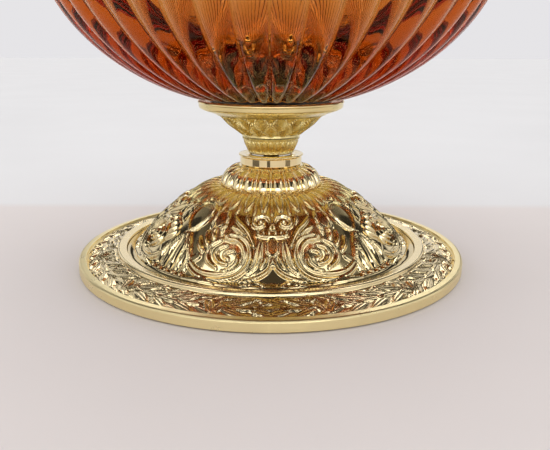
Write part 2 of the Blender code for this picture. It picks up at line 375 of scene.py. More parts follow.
def gilt(name, roughness, brush=0.0, deep=0.25, grain=0.0, bright=GOLD_BRIGHT, dark=GOLD_DEEP):
    """Gilded brass: clouded a little, with painted shade that darkens it in hollows, brushed round or
    grained. deep is how strong the painted shade is.
    """
    material, tree, shader = new_material(name)
    shader.inputs["Metallic"].default_value = 1.0
    cloud = noise(tree, object_place(tree), 55.0)
    # pointiness picks out concave places, which go towards the dark colour: painted shade in the hollows; the
    # cloud adds random tone
    hollow = tree.nodes.new("ShaderNodeNewGeometry").outputs["Pointiness"]
    painted_hollow_shade = spread_range(tree, hollow, 0.44, 0.53, 1.0, 0.0)
    shade = maths(
        tree, "ADD", maths(tree, "MULTIPLY", painted_hollow_shade, deep), maths(tree, "MULTIPLY", cloud, 0.22)
    )
    colour = ramp(tree, shade, [(0.0, bright), (1.0, dark)])
    tree.links.new(colour, shader.inputs["Base Color"])
    blotches = noise(tree, object_place(tree), 130.0)
    smudge = spread_range(tree, blotches, 0.3, 0.7, roughness * 0.8, roughness * 1.25)
    tree.links.new(smudge, shader.inputs["Roughness"])
    height = noise(tree, object_place(tree), 1400.0, 2.0)
    strength = grain
    if brush:
        height = noise(tree, round_place(tree, 3.0, 2600.0, 2600.0), 1.0, 2.0)
        strength = brush
    if strength:
        bump = node(tree, "ShaderNodeBump", Height=height, Strength=strength, Distance=0.0002)
        tree.links.new(bump.outputs[0], shader.inputs["Normal"])
    return material


def amber_crystal():
    """Thick cast glass. Its colour is in the glass, so it deepens with the depth looked through."""
    material, tree, shader = new_material("amber_crystal")
    shader.inputs["Base Color"].default_value = (1.0, 1.0, 1.0, 1.0)
    shader.inputs["Transmission Weight"].default_value = 1.0
    shader.inputs["IOR"].default_value = 1.54
    shader.inputs["Specular Tint"].default_value = (0.80, 0.42, 0.22, 1.0)
    smudge = spread_range(tree, noise(tree, object_place(tree), 40.0), 0.35, 0.75, 0.0, 0.03)
    tree.links.new(smudge, shader.inputs["Roughness"])
    ripple = noise(tree, object_place(tree), 90.0, 2.0)
    bump = node(tree, "ShaderNodeBump", Height=ripple, Strength=0.08, Distance=0.0008)
    tree.links.new(bump.outputs[0], shader.inputs["Normal"])
    depth = node(tree, "ShaderNodeVolumeAbsorption", Color=(0.88, 0.55, 0.0, 1.0), Density=165.0)
    tree.links.new(depth.outputs[0], tree.nodes["Material Output"].inputs["Volume"])
    return material


def plain(name, colour, roughness, metallic=0.0, scale=900.0, strength=0.25, distance=0.0002):
    """A worked surface: a colour that varies by a noise, which also roughens it."""
    material, tree, shader = new_material(name)
    shader.inputs["Metallic"].default_value = metallic
    shader.inputs["Roughness"].default_value = roughness
    grain = noise(tree, object_place(tree), scale, 4.0)
    dark = tuple(c * 0.72 for c in colour)
    tree.links.new(ramp(tree, grain, [(0.3, dark), (0.7, colour)]), shader.inputs["Base Color"])
    bump = node(tree, "ShaderNodeBump", Height=grain, Strength=strength, Distance=distance)
    tree.links.new(bump.outputs[0], shader.inputs["Normal"])
    return material


polished = gilt("gilt_polished", 0.07)
dome_gold = gilt("gilt_dome", 0.10, deep=0.55, bright=(0.90, 0.75, 0.43))
matt_gold = gilt("gilt_matt", 0.23, grain=0.25, deep=0.6, bright=(1.0, 0.85, 0.42), dark=(0.74, 0.56, 0.23))
brushed_gold = gilt("gilt_brushed", 0.33, brush=0.16, bright=(1.0, 0.86, 0.47))
cup_gold = gilt("gilt_cup", 0.26, grain=0.15, deep=0.7, bright=(1.0, 0.87, 0.42), dark=(0.50, 0.33, 0.09))
plate_gold = gilt("gilt_plate", 0.17, brush=0.10, bright=(0.86, 0.71, 0.34))
laurel_gold = gilt("gilt_laurel", 0.20, deep=0.30, bright=(1.0, 0.84, 0.50), dark=(0.78, 0.58, 0.28))
crystal = amber_crystal()
black_rubber = plain("black_rubber", (0.018, 0.018, 0.018), 0.62)
zinc_steel = plain("zinc_steel", (0.62, 0.62, 0.64), 0.30, 1.0, 500.0, 0.12)
cast_iron = plain("cast_iron", (0.060, 0.060, 0.063), 0.62, 0.6, 700.0, 0.7, 0.0006)
clear_nylon = plain("clear_nylon", (0.80, 0.80, 0.76), 0.35)
green_felt = plain("green_felt", (0.045, 0.080, 0.058), 0.95, 0.0, 2600.0, 0.9, 0.0006)


# ---------------------------------------------------------------- camera, stage and light


def make_camera():
    """The photograph's view: a normal lens 0.4 m in front of the bowl, looking down 16 degrees."""
    camera = bpy.data.cameras.new("camera")
    camera.lens = 41.73
    camera.sensor_width = 36.0
    camera.clip_start = 0.01
    made = bpy.data.objects.new("camera", camera)
    bpy.context.scene.collection.objects.link(made)
    tilt = Matrix.Rotation(math.radians(90 - 15.83), 4, "X")
    roll = Matrix.Rotation(0.0027, 4, "Z")
    made.matrix_world = Matrix.Translation((0.00264, -0.39588, 0.13188)) @ tilt @ roll
    bpy.context.scene.camera = made


def sheet(name, width, depth, matrix):
    """A flat rectangle that belongs to the stage."""
    mesh = bpy.data.meshes.new(name)
    x, y = width / 2, depth / 2
    mesh.from_pydata([(-x, -y, 0), (x, -y, 0), (x, y, 0), (-x, y, 0)], [], [(0, 1, 2, 3)])
    made = bpy.data.objects.new(name, mesh)
    made.matrix_world = matrix
    bpy.context.scene.collection.objects.link(made)
    return made


def make_floor():
    """A pale sheet that is cream under the bowl and turns a cool white behind it."""
    floor = sheet("floor", 12.0, 12.0, Matrix.Translation((0.0, 0.0, -0.0002)))
    material, tree, shader = new_material("floor")
    shader.inputs["Roughness"].default_value = 0.75
    split = node(tree, "ShaderNodeSeparateXYZ", Vector=object_place(tree))
    back = spread_range(tree, split.outputs[1], 0.122, 0.138, 0.0, 1.0)
    shade = noise(tree, object_place(tree), 6.0)
    cream = ramp(tree, shade, [(0.3, (0.690, 0.642, 0.632)), (0.7, (0.710, 0.660, 0.650))])
    white = ramp(tree, shade, [(0.3, (0.715, 0.710, 0.722)), (0.7, (0.735, 0.730, 0.742))])
    mix = tree.nodes.new("ShaderNodeMix")
    mix.data_type = "RGBA"
    tree.links.new(back, mix.inputs["Factor"])
    tree.links.new(cream, mix.inputs[6])
    tree.links.new(white, mix.inputs[7])
    tree.links.new(mix.outputs[2], shader.inputs["Base Color"])
    floor.data.materials.append(material)


def make_world():
    """A pale room: bright walls, a darker ceiling."""
    world = bpy.data.worlds.new("room")
    world.use_nodes = True
    bpy.context.scene.world = world
    tree = world.node_tree
    way = tree.nodes.new("ShaderNodeTexCoord").outputs["Generated"]
    split = node(tree, "ShaderNodeSeparateXYZ", Vector=way)
    sky = ramp(tree, split.outputs[2], [
        (0.0, (0.79, 0.78, 0.80)), (0.46, (0.80, 0.79, 0.80)),
        (0.62, (0.20, 0.19, 0.17)), (0.80, (0.06, 0.05, 0.04)),
    ])
    tree.links.new(sky, tree.nodes["Background"].inputs["Color"])


def aim(spot, target):
    """A matrix at a spot whose -Z looks at a target."""
    back = (spot - target) / np.linalg.norm(spot - target)
    side = np.cross([0.0, 0.0, 1.0], back)
    if np.linalg.norm(side) < 1e-6:
        side = np.array([1.0, 0.0, 0.0])
    side /= np.linalg.norm(side)
    up = np.cross(back, side)
    matrix = Matrix.Identity(4)
    for i in range(3):
        matrix[i][0], matrix[i][1], matrix[i][2], matrix[i][3] = side[i], up[i], back[i], spot[i]
    return matrix


TARGET = np.array([0.0, 0.0, 0.09])


def around_target(azimuth, elevation, distance):
    """A matrix that faces the target, from this many degrees round from the front and up."""
    a, e = math.radians(azimuth), math.radians(elevation)
    way = np.array([math.sin(a) * math.cos(e), -math.cos(a) * math.cos(e), math.sin(e)])
    return aim(TARGET + way * distance, TARGET)


def softbox(name, azimuth, elevation, distance, width, height, radiance):
    """A soft light that only glossy surfaces and glass see."""
    light = bpy.data.lights.new(name, "AREA")
    light.shape = "RECTANGLE"
    light.size, light.size_y = width, height
    light.energy = radiance * math.pi * width * height
    made = bpy.data.objects.new(name, light)
    made.matrix_world = around_target(azimuth, elevation, distance)
    made.visible_camera = False
    made.visible_diffuse = False
    bpy.context.scene.collection.objects.link(made)


def daylight(name, azimuth, strength):
    """Very soft light from high on one side, for the floor and the matt pieces."""
    light = bpy.data.lights.new(name, "SUN")
    light.energy = strength
    light.angle = math.radians(90)
    made = bpy.data.objects.new(name, light)
    a = math.radians(azimuth)
    made.matrix_world = aim(np.array([math.sin(a), -math.cos(a), 1.2]), np.zeros(3))
    made.visible_glossy = False
    made.visible_transmission = False
    bpy.context.scene.collection.objects.link(made)


def flag(name, azimuth, elevation, distance, width, height, shade=0.014):
    """A card that the camera doesn't see, for the dark lines in polished metal and glass. shade is
    how light it is."""
    card = sheet(name, width, height, around_target(azimuth, elevation, distance))
    material, tree, shader = new_material(name)
    shader.inputs["Roughness"].default_value = 0.9
    weave = noise(tree, object_place(tree), 300.0)
    stops = [(0.3, (0.75 * shade, 0.66 * shade, 0.58 * shade)), (0.7, (1.25 * shade, 1.15 * shade, shade))]
    tree.links.new(ramp(tree, weave, stops), shader.inputs["Base Color"])
    card.data.materials.append(material)
    card.visible_camera = False
    card.visible_shadow = False
    card.visible_diffuse = False


make_camera()
make_floor()
make_world()
for side, azimuth in (("front", -10), ("left", -130), ("right", 115)):
    daylight(f"{side}_daylight", azimuth, strength=1.15)
softbox("low_light", 0, 7, 1.5, 2.4, 0.34, 2.1)
softbox("left_light", -62, 46, 1.3, 0.34, 0.6, 2.0)
softbox("right_light", 66, 42, 1.3, 0.30, 0.6, 1.9)
softbox("back_light", 180, 38, 1.6, 1.6, 0.44, 2.4)
softbox("left_front_light", -24, 58, 1.2, 0.15, 0.36, 2.2)
softbox("right_front_light", 27, 54, 1.2, 0.13, 0.32, 2.1)
flag("front_flag", 0, 29, 0.9, 0.62, 0.46)
flag("left_flag", -112, 14, 0.9, 0.30, 0.9)
flag("right_flag", 116, 14, 0.9, 0.30, 0.9)
flag("left_front_flag", -32, 26, 0.95, 0.16, 0.62)
flag("right_front_flag", 36, 26, 0.95, 0.14, 0.62)
flag("left_low_card", -56, -15.2, 0.31, 0.15, 0.025, 0.16)
flag("middle_low_card", -8, -15.2, 0.31, 0.06, 0.025, 0.10)
flag("right_low_card", 64, -15.2, 0.31, 0.11, 0.025, 0.25)
flag("left_back_flag", -150, 20, 1.0, 0.14, 0.9)
flag("right_back_flag", 145, 20, 1.0, 0.14, 0.9)

bpy.context.scene.view_settings.view_transform = "Standard"


# ---------------------------------------------------------------- the glass bowl


def glass_bowl():
    """Round lobes outside, smooth inside, a scalloped rim and a flat, ground base."""
    base, top = low("glass_bowl"), high("glass_bowl")
    crest = wide("glass_bowl") * CREST_PAST_BOX
    ellipse_height = 0.0967
    equator = base + 0.0900
    base_radius = 0.0480
    wall = 0.0085
    floor = base + 0.0110
    floor_edge = 0.0200
    bore = 0.0078
    lobe_depth = 0.0028
    lip_radius = 0.0034
    scallop_depth = 0.0030
    columns = BOWL_FLUTES * 20
    turn = column_angles(columns)
    wave = np.abs(np.sin(BOWL_FLUTES * turn / 2))

    def lobes(line, depth):
        """How far the surface sinks between crests. Lobes are fuller at the base than at the top."""
        share = step(line[:, 0], base_radius, crest)[:, None]
        power = 0.55 + 0.35 * share
        return -np.asarray(depth)[:, None] * (1 - wave[None, :] ** power)

    base_angle = math.asin((equator - base - 0.0004) / ellipse_height)
    down = np.linspace(0, base_angle, 58)
    outside = np.column_stack([crest * np.cos(down), equator - ellipse_height * np.sin(down)])
    corner = outside[-1]
    fillet = smooth([corner, corner + (-0.0012, -0.00034), corner + (-0.0036, -0.0004)], 7)[1:]
    inner = crest - wall
    inner_height = (equator - floor) / math.sqrt(1 - (floor_edge / inner) ** 2)
    up = np.linspace(math.acos(floor_edge / inner), 0, 28)
    inside = np.column_stack([inner * np.cos(up), equator - inner_height * np.sin(up)])
    shoulder = top - lip_radius
    wall_top = smooth([(crest, equator + 0.0004), (crest, shoulder), (crest - 0.0010, top - 0.0008)], 9)
    lip = circle((crest - wall / 2, shoulder), lip_radius, 60, 120, 5)
    inner_top = smooth([(inner + 0.0010, top - 0.0008), (inner, shoulder), (inner, equator + 0.0004)], 8)

    rim_drop = -scallop_depth * (1 - wave) ** 1.2

    def dropped(line):
        """The rim's scallops, as a shift straight down that fades out towards the equator."""
        return ((line[:, 1] - equator) / (top - equator))[:, None] * rim_drop[None, :]

    rings = []

    def add(line, depth=None, drop=False):
        """Adds a stretch of the profile, with lobes of this depth and the rim's scallops if asked."""
        line = np.asarray(line)
        rise = lobes(line, depth) if depth is not None else np.zeros((len(line), columns))
        radius, height = raised(line, rise)
        rings.append(round_points(radius, height + (dropped(line) if drop else 0.0), turn))

    add(lip, None, True)
    add(wall_top[::-1], lobe_depth * np.linspace(1.0, 0.55, len(wall_top)), True)
    add(outside, np.full(len(outside), lobe_depth))
    add(fillet, lobe_depth * np.linspace(0.95, 0.30, len(fillet)))
    add(np.column_stack([np.linspace(0.0400, bore + 0.0004, 6), np.full(6, base)]))
    add([(bore, base + 0.0004), (bore, floor - 0.0004)])
    add(inside)
    add(inner_top[::-1], None, True)
    bowl = grid_object("amber_bowl", np.concatenate(rings))
    place(bowl, "bowl", "glass_bowl", crystal)


glass_bowl()


# ---------------------------------------------------------------- the foot


def base_flange():
    """The satin rim, the laurel band in its channel, the bead and the shelf that the dome sits on."""
    columns = 1440
    z = low("base_flange")
    outer = wide("base_flange")
    rim_inner = outer - 0.0044
    bead_outer, bead_inner, shelf = 0.0968, 0.0912, 0.0800
    bead_side = sharp([
        (bead_inner, z + 0.0070), (bead_inner + 0.0001, z + 0.0103), (bead_outer - 0.0020, z + 0.0108),
    ])
    bead = circle((bead_outer - 0.0014, z + 0.0095), 0.0014, 84, 8, 7)
    channel = spaced(np.array([(bead_outer, z + 0.0084), (rim_inner, z + 0.0034)]), 38)
    rim_and_underside = sharp([
        (rim_inner, z + 0.0036), (rim_inner, z + 0.0062), (outer - 0.0012, z + 0.0061),
        (outer - 0.0004, z + 0.0057), (outer, z + 0.0048), (outer, z),
        (rim_inner - 0.0004, z), (rim_inner - 0.0004, z + 0.0017),
        (0.0886, z + 0.0017), (0.0886, z + 0.0039), (shelf, z + 0.0039), (shelf, z + 0.0064),
        (bead_inner, z + 0.0064),
    ])
    relief = laurel_band(channel, columns)
    sections = [(bead_side, None), (bead, None), (channel, relief), (rim_and_underside[1:], None)]
    flange = turned("laurel_flange", sections, columns)
    flange.data.materials.append(laurel_gold)
    place(flange, "stand", "base_flange", brushed_gold)
    second_material(flange, lambda radius, _turn, _height: radius > rim_inner - 0.0002)


def laurel_band(line, columns):
    """Crisp laurel leaves that sweep round the band to the front, with berries and tulips between."""
    across = np.concatenate([[0.0], np.cumsum(np.hypot(*np.diff(line, axis=0).T))])[:, None] / MM
    width = across[-1, 0]
    radius = line[:, :1] / MM
    turn = np.degrees(column_angles(columns))[None, :]
    height = np.zeros((len(line), columns))
    leaf_share, berry_height = 0.72, 1.8

    def offsets(centre, middle, hand=1):
        """Each place's distance round the band and across it from a centre, in mm."""
        gap = (turn - centre + 180) % 360 - 180
        return np.radians(gap) * radius * hand, across - middle

    def leaf(centre, middle, lean, length, breadth, lift, hand, curl=0.0):
        """One pointed leaf with a midrib. lean is its slope across the band, in degrees."""
        x, y = offsets(centre, middle, hand)
        c, s = math.cos(math.radians(lean)), math.sin(math.radians(lean))
        u, v = (x * c + y * s) / length, -x * s + y * c
        v = v + curl * (u * u - u)
        half = breadth * np.sin(math.pi * np.clip(u, 0, 1) ** 0.8) ** 0.75 + 1e-6
        q = np.clip(np.abs(v) / half, 0, 1)
        body = leaf_share * lift * (0.45 + 0.55 * np.clip(u, 0, 1)) * (1 - q**2) ** 0.5
        body = body * (1 - 0.55 * np.exp(-((v / 0.36) ** 2)))
        inside = (u > 0) & (u < 1) & (q < 1)
        np.maximum(height, np.where(inside, body, 0.0), out=height)

    def berry(centre, middle, size):
        x, y = offsets(centre, middle)
        q = np.clip(np.hypot(x, y) / size, 0, 1)
        np.maximum(height, berry_height * np.sqrt(1 - q**2), out=height)

    sprays, tulips = 50, 12
    for k in range(sprays):
        centre = (k + 0.5) * 360 / sprays
        hand = -1 if centre < 180 else 1
        sway = 4 * math.sin(k * 2.4)
        for lean, middle in ((-24, 0.42), (24, 0.58)):
            leaf(centre - hand * 2.0, width * middle, lean + sway, 17.0, 2.3, 2.0, hand, -lean / 8)
        leaf(centre, width * 0.50, sway, 15.0, 1.9, 2.3, hand, 1.0)
        leaf(centre + hand * 1.5, width * 0.13, -4 - sway, 13.0, 1.5, 1.8, hand, 1.5)
        leaf(centre + hand * 1.5, width * 0.87, 4 - sway, 13.0, 1.5, 1.8, hand, -1.5)
        if k % 4 == 1:
            berry(centre, width * 0.74, 1.2)
            berry(centre + 1.2, width * 0.28, 1.1)
    for k in range(tulips):
        centre = (k + 0.5) * 360 / tulips
        height *= 1 - 0.9 * np.exp(-((np.hypot(*offsets(centre, width * 0.45)) / 5.0) ** 4))
        for lean in (-122, -104, -76, -58):
            leaf(centre, width * 0.86, lean, 12.5, 1.5, 2.4, 1)
        berry(centre, width * 0.86, 1.3)
    edge_fade = np.minimum(step(across, 0.0, 0.7), step(width - across, 0.0, 0.7))
    return height * edge_fade * MM


def scroll_dome():
    """The cast dome: leaves under the collar, and below them four cartouches, eight volutes and
    four acanthus leaves under smooth oval mirrors."""
    columns, sectors = 960, 4
    z = low("scroll_dome")
    outline = [
        (0.0305, 0.0393), (0.0345, 0.0410), (0.0410, 0.0404), (0.0500, 0.0364),
        (0.0590, 0.0306), (0.0680, 0.0228), (0.0760, 0.0150), (0.0835, 0.0060), (0.0866, 0.0028),
    ]
    line = smooth(outline, 104) + np.array([0.0, z])
    relief = Relief(line, columns, sectors)
    long = relief.along[-1, 0]
    draw_dome(relief)
    sunk, top_lift, foot_lift = 2.4, 1.8, 2.3
    relief.ground = -sunk + top_lift * (1 - step(relief.along, 1, 4))
    relief.ground = relief.ground + foot_lift * step(relief.along, long - 3.2, long - 0.4)
    whole = np.minimum(relief.all_round(ORNAMENT_TURN), 0.0001)
    rim = sharp([(0.0868, z + 0.0020), (0.0909, z + 0.0020), (0.0909, z), (0.0830, z), (0.0720, z + 0.0110)])
    inside = [(0.0560, z + 0.0225), (0.0430, z + 0.0322), (0.0330, z + 0.0350)]
    web = sharp([
        (0.0330, z + 0.0350), (ROD_HOLE, z + 0.0358), (ROD_HOLE, z + 0.0390), (0.0300, z + 0.0390),
    ])
    dome = turned("scroll_dome_cast", [(line, whole), (rim, None), (inside, None), (web[1:], None)], columns)
    dome.data.materials.append(dome_gold)
    place(dome, "stand", "scroll_dome", matt_gold)
    leaf_tips = np.interp(24.0, relief.along[:, 0], line[:, 0])
    second_material(dome, lambda radius, _turn, height: radius < leaf_tips and height > z + 0.030)


def draw_dome(relief):
    """Half of one sector, from the cartouche's middle at 0 degrees to the acanthus's at 45."""
    pen = relief.stroke
    leaf_gap = 11.25
    for k in range(5):
        middle = k * leaf_gap
        pen([(middle, 6), (middle, 16), (middle, 25)], 1.7, 1.6, keel_form, 0.8, 0.2)
    for k in range(4):
        middle = leaf_gap / 2 + k * leaf_gap
        pen([(middle, 1), (middle, 11), (middle, 22)], 3.1, 2.4, vein_form, 0.75, 0.10)
        for hand in (-1, 1):
            points = [(middle + hand * 2.5, 4), (middle + hand * 2.0, 12), (middle + hand * 0.9, 19)]
            pen(points, 0.8, 2.0, soft_form)
    # smooth mirrors and hollows that the scrolls stand round
    relief.level([(45, 23.5), (45, 30), (45, 37)], 8.2, 0.7, start=0.9, end=0.25)
    relief.level([(29.8, 26.5), (30.2, 34)], 3.4, 0.6, start=0.9, end=0.6)
    # the cartouche's two small volutes and the bar below them
    pen([(1.0, 34.8), (0.9, 30.0), (2.8, 26.8), (6.6, 25.6), (10.0, 27.8), (10.4, 31.6), (7.8, 33.8),
         (5.2, 32.6), (4.8, 30.6)], 1.35, 2.3, soft_form, 0.7, 0.9, 60)
    relief.ball(6.4, 29.8, 1.5, 2.2, soft_form)
    for degrees in (1.7, 4.6, 7.2):
        pen([(degrees, 36.0), (degrees * 0.94, 38.4)], 1.0, 2.0, soft_form, 0.8, 0.8)
    pen([(0, 40.2), (4, 40.0), (7.6, 39.1)], 1.15, 2.4, soft_form, 1.0, 0.6)
    # the shield, its frame, and the stem that forks below it
    relief.level([(0, 44.4), (0, 49.0)], 3.4, 0.9)
    pen([(0, 53), (0, 56), (0, 58.6)], 1.2, 2.2, soft_form, 0.8, 0.5)
    pen([(0.5, 55.4), (1.4, 59.8), (4.2, 63.4), (8.2, 66.0), (13, 67.8)], 1.1, 2.3, soft_form, 0.6, 0.3)
    pen([(3.0, 70.0), (4.2, 68.3), (6.8, 67.8), (9.8, 69.0), (11.6, 70.4)], 1.2, 1.9, soft_form)
    # the petals beside the shield
    pen([(5.6, 42.6), (6.1, 48), (6.4, 53), (7.2, 57.8), (9.8, 62.4)], 2.0, 2.3, trough_form, 0.35, 0.3, 50)
    pen([(2.7, 51.4), (3.2, 55.2), (4.8, 59.4)], 1.15, 2.0, soft_form)
    # the big volute's band, its curled tip, and the fingers inside it
    pen([(20.4, 41.6), (15.4, 42.4), (11.8, 46.6), (10.6, 52.4), (11.4, 58.2), (14.2, 62.8), (18.8, 65.4),
         (24.4, 66.2), (30.0, 65.2), (34.4, 62.0), (37.0, 58.0)], 2.7, 2.4, trough_form, 0.9, 0.35, 90)
    relief.ball(22.2, 41.4, 2.6, 2.4, soft_form)
    for points, width in (
        ([(24.6, 43.6), (28.0, 47.4), (28.8, 52.4), (27.0, 57.6), (22.8, 61.0)], 1.55),
        ([(20.8, 46.4), (24.0, 49.2), (24.6, 53.2), (22.6, 56.8), (18.8, 58.0)], 1.50),
        ([(17.2, 49.2), (20.0, 50.8), (20.6, 53.4), (18.6, 55.0)], 1.25),
        ([(14.9, 52.6), (14.9, 57.0), (17.4, 61.0), (20.6, 62.2)], 1.15),
    ):
        pen(points, width, 2.3, soft_form, 0.55, 0.35, 50)
    # lobes between the volute and the acanthus, and the hollow below them
    for points, width in (
        ([(32.0, 52.4), (35.0, 48.2), (36.8, 43.8)], 1.70),
        ([(30.6, 48.2), (33.0, 44.0), (33.8, 39.4)], 1.65),
        ([(28.6, 44.0), (30.0, 40.4), (29.8, 36.8)], 1.50),
        ([(25.8, 39.8), (26.2, 36.8), (25.0, 33.8)], 1.30),
    ):
        pen(points, width, 2.3, soft_form, 0.5, 0.35, 20)
    relief.level([(33.0, 56.0), (34.4, 58.0)], 2.2, 0.5)
    # the long blades above the volute
    pen([(8.4, 46.4), (10.7, 40.8), (14, 35.8), (18.6, 31.4), (22.6, 26.8)], 1.3, 2.1, soft_form, 0.35, 0.2)
    pen([(13.4, 39.6), (17.4, 36.6), (22.0, 34.2)], 1.2, 2.0, soft_form, 0.3, 0.2)
    pen([(12.8, 31.4), (14.6, 27.4), (14.2, 23.0)], 1.1, 1.6, soft_form, 0.3, 0.2)
    # the thin frames of the mirrors
    pen([(33.6, 38), (33.4, 33), (34.0, 27), (36.0, 21.0)], 0.95, 2.2, soft_form, 0.3, 0.3)
    pen([(27.6, 37.0), (26.0, 33.4), (26.0, 29), (28.0, 23.0)], 0.95, 1.9, soft_form, 0.3, 0.3)
    pen([(45, 42.2), (42.0, 39.0), (39.2, 33.6), (37.8, 28), (38.6, 23.2), (41.6, 20.4), (45, 19.8)],
        0.9, 2.3, soft_form, 0.8, 0.8, 60)
    # the acanthus: long fingers that curve out and end in balls on the floor
    for points, width in (
        ([(45, 42.4), (45, 52), (45, 60), (45, 67.0)], 1.9),
        ([(43.4, 43.4), (41.8, 50), (40.4, 58), (40.9, 67.0)], 1.85),
        ([(41.6, 46.4), (38.8, 53.0), (36.6, 60), (36.8, 66.6)], 1.65),
    ):
        pen(points, width, 2.4, vein_form, 0.45, 0.6)
    for degrees in (45, 40.9, 36.8):
        relief.ball(degrees, 68.1, 1.8, 2.3, soft_form)
    # the flat leaf that lies on the floor under the volute
    pen([(21.6, 70.6), (25.6, 69.4), (30.2, 69.0), (34.6, 70.6)], 1.9, 2.0, soft_form, 0.3, 0.2)


def gadroon_collar():
    """Twenty arched matt panels between polished ribs, above as many polished lobes that turn under."""
    columns = COLLAR_LOBES * 40
    sector = 360 / COLLAR_LOBES
    z = low("gadroon_collar")
    centre = (0.0196, z + 0.0012)
    flare = circle(centre, 0.0118, 92, 2, 80)
    relief = Relief(flare, columns, COLLAR_LOBES)
    u = relief.angle / (sector / 2)
    s = relief.along / relief.along.max()
    panel_half, rib_half, rib_edge = 0.66, 0.25, 0.74
    bulge = np.sqrt(np.clip(1 - (u / panel_half) ** 2, 0, 1))
    rib = -0.05 - 1.9 * (1 - np.sqrt(np.clip(1 - ((1 - u) / rib_half) ** 2, 0, 1)))
    panel = -2.1 + 1.4 * bulge**0.5
    lobe = -1.95 + 1.95 * bulge
    lower = step(s, 0.43, 0.52)
    panel_top = step(s - 0.03 - 0.10 * (1 - bulge), 0.0, 0.03)
    rib_top = step(s, 0.02, 0.10) * (u > rib_edge)
    surface = np.maximum(panel * (1 - lower) + lobe * lower, rib)
    relief.height = surface * np.maximum(panel_top, rib_top)
    lip = sharp([
        (0.0314, z + 0.0010), (0.0310, z + 0.0002), (0.0268, z), (0.0262, z + 0.0050), (0.0190, z + 0.0100),
    ])
    web = sharp([
        (0.0190, z + 0.0100), (ROD_HOLE, z + 0.0100), (ROD_HOLE, z + 0.0132), (0.0190, z + 0.0132),
    ])
    fade = np.array([1.0] * 4 + [0.4] * 4 + [0.0] * (len(lip) - 8))[:, None]
    scallop = Relief(lip, columns, COLLAR_LOBES)
    scallop.height = np.maximum(lobe, rib) * fade
    half_turn = math.radians(sector / 2)
    sections = [
        (flare, relief.all_round(half_turn)), (lip, scallop.all_round(half_turn)), (web[1:], None),
    ]
    collar = turned("gadroon_collar_cast", sections, columns)
    collar.data.materials.append(polished)
    place(collar, "stand", "gadroon_collar", matt_gold)

    def on_panel(radius, turn, height):
        across = abs(math.degrees(turn) % sector - sector / 2) / (sector / 2)
        slope = math.degrees(math.atan2(height - centre[1], radius - centre[0]))
        return across < 0.72 and 50 < slope < 90

    second_material(collar, on_panel)


def neck_ring():
    """A plain mirror-bright ring with a rolled lip at its top."""
    z, top, lip = low("neck_ring"), high("neck_ring"), wide("neck_ring")
    body = lip - 0.0009
    flare = smooth([(lip - 0.0004, top), (lip, top - 0.0003), (lip, top - 0.0009), (body, top - 0.0017)], 18)
    below = sharp([
        (body, top - 0.0019), (body, z + 0.0006), (body - 0.0005, z), (ROD_HOLE, z), (ROD_HOLE, top - 0.0002),
    ])
    dish = sharp([(ROD_HOLE, top - 0.0002), (0.0150, top - 0.0002), (0.0160, top - 0.0008), flare[0]])
    line = np.concatenate([flare, below, dish[1:-1]])
    place(turned("mirror_ring", [(line, None)], 192), "stand", "neck_ring", polished)


def lower_cup():
    """A small cup of upright leaves, with a skirt that hides the seal under it."""
    leaves = 26
    columns = leaves * 26
    skirt = low("lower_cup")
    z = skirt + 0.0011
    outline = [
        (0.0178, 0.0090), (0.0177, 0.0075), (0.0171, 0.0060), (0.0160, 0.0036), (0.0150, 0.0014),
        (0.0144, 0.0003), (0.0141, -0.0009),
    ]
    line = smooth(outline, 48) + np.array([0.0, z])
    relief = Relief(line, columns, leaves, -1.0)
    long = relief.along[-1, 0]
    half = 180 / leaves
    pen = relief.stroke
    pen([(0, long - 1.6), (0, long * 0.62), (0, long * 0.26)], 1.25, 1.0, vein_form, 0.9, 0.35, 30)
    pen([(half, long - 2.4), (half, long * 0.24)], 0.42, 0.75, round_form, 0.8, 0.8, 20)
    for down in (0.07, 0.955):
        bead = [(degrees, long * down) for degrees in (0, 90 / leaves, half)]
        pen(bead, 0.62, 1.0, round_form, 1.0, 1.0, 12)
    web = sharp([
        (0.0139, skirt), (0.0128, skirt), (0.0126, z), (ROD_HOLE, z), (ROD_HOLE, z + 0.0090),
        (0.0176, z + 0.0090),
    ])
    cup = turned("leaf_cup", [(line, relief.all_round()), (web[1:], None)], columns)
    place(cup, "stand", "lower_cup", cup_gold)


